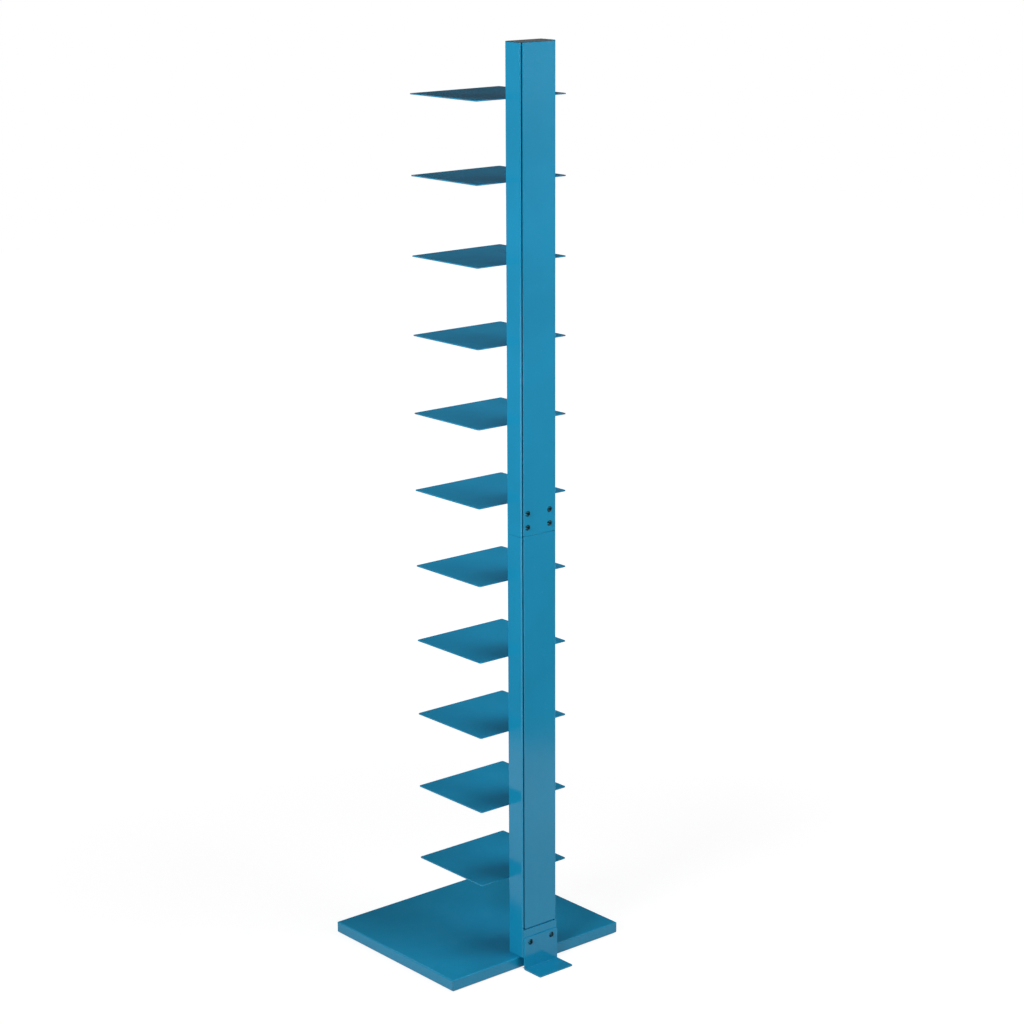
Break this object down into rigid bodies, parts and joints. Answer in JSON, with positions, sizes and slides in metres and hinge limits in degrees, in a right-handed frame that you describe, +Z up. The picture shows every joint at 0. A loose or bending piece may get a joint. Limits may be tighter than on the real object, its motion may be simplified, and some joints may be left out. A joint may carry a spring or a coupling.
{
  "type": "spine bookshelf",
  "caption": "Tall spine bookshelf: flat steel shelves hooked one above another on a slim folded-steel column that stands at the back edge of a flat square base.",
  "frame": {"origin": "on the floor, under the middle of the whole footprint, from the base's front edge to the tip of the foot bracket", "axes": "+Z up along the column; the shelves reach forward towards -Y and the column stands at the back, towards +Y; +X is to the right seen from the front"},
  "size_m": [0.3938, 0.3974, 1.6573],
  "materials": {
    "blue_paint": "satin-gloss powder coat",
    "inner_steel": "satin powder coat, inside the column",
    "screw_steel": "black oxide",
    "nut_steel": "zinc plated",
    "cap_plastic": "moulded, finely grained",
    "glide_rubber": "matt"
  },
  "bodies": {
    "root": {"base_tray": "blue_paint", "base_stiffener": "inner_steel", "floor_glides": "glide_rubber", "rear_upstand": "blue_paint", "foot_bracket": "blue_paint", "lower_shell": "blue_paint", "lower_rack": "inner_steel", "lower_cover": "blue_paint", "heel_channel": "inner_steel", "splice_channel": "inner_steel", "upper_shell": "blue_paint", "upper_rack": "inner_steel", "upper_cover": "blue_paint", "top_cap": "cap_plastic", "splice_screws": "screw_steel", "splice_nuts": "nut_steel", "heel_screws": "screw_steel", "heel_nuts": "nut_steel", "shelf_01": "blue_paint", "shelf_02": "blue_paint", "shelf_03": "blue_paint", "shelf_04": "blue_paint", "shelf_05": "blue_paint", "shelf_06": "blue_paint", "shelf_07": "blue_paint", "shelf_08": "blue_paint", "shelf_09": "blue_paint", "shelf_10": "blue_paint", "shelf_11": "blue_paint"}
  },
  "joints": []
}
